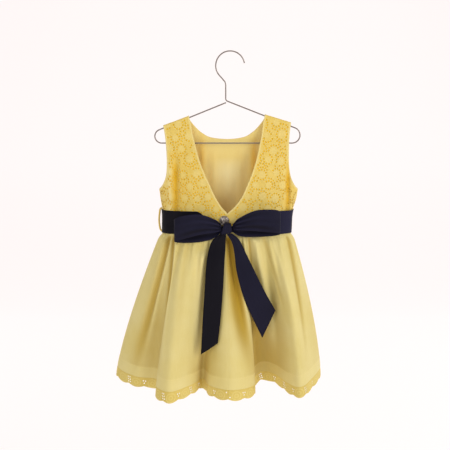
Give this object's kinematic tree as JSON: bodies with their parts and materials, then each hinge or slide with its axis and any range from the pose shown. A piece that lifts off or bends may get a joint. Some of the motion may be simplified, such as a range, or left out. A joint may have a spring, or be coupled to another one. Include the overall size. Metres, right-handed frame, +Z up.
{
  "type": "sleeveless child's dress on a wire hanger",
  "caption": "Small child's sleeveless dress with eyelet lace bodice, open V back, gathered skirt, scalloped hem and a sash tied in a bow, hung on a thin wire hanger.",
  "frame": {"origin": "inside of the top of the hanger's hook, where a rail carries it", "axes": "+Z up, -Y out of the back of the dress with the bow, +X to the right seen from that back"},
  "size_m": [0.429, 0.2317, 0.6846],
  "materials": {
    "eyelet_cotton": "matt broderie anglaise cotton, yellow",
    "lining_cotton": "matt plain cotton, deeper yellow",
    "plain_cotton": "matt plain cotton, yellow",
    "navy_satin": "soft navy satin ribbon",
    "hanger_wire": "dull steel wire",
    "button_shell": "glossy grey shell button"
  },
  "bodies": {
    "root": {"hanger_wire": "hanger_wire", "bodice_back_left": "eyelet_cotton", "bodice_back_right": "eyelet_cotton", "bodice_front": "eyelet_cotton", "bodice_front_lining": "lining_cotton", "skirt_back_left": "plain_cotton", "skirt_back_right": "plain_cotton", "skirt_front": "plain_cotton", "hem_trim_back_left": "eyelet_cotton", "hem_trim_back_right": "eyelet_cotton", "hem_trim_front": "eyelet_cotton", "sash_band": "navy_satin", "bow_loop_left": "navy_satin", "bow_loop_right": "navy_satin", "bow_knot": "navy_satin", "bow_tail_left": "navy_satin", "bow_tail_right": "navy_satin", "belt_loop_left": "plain_cotton", "belt_loop_right": "plain_cotton", "button": "button_shell"}
  },
  "joints": []
}
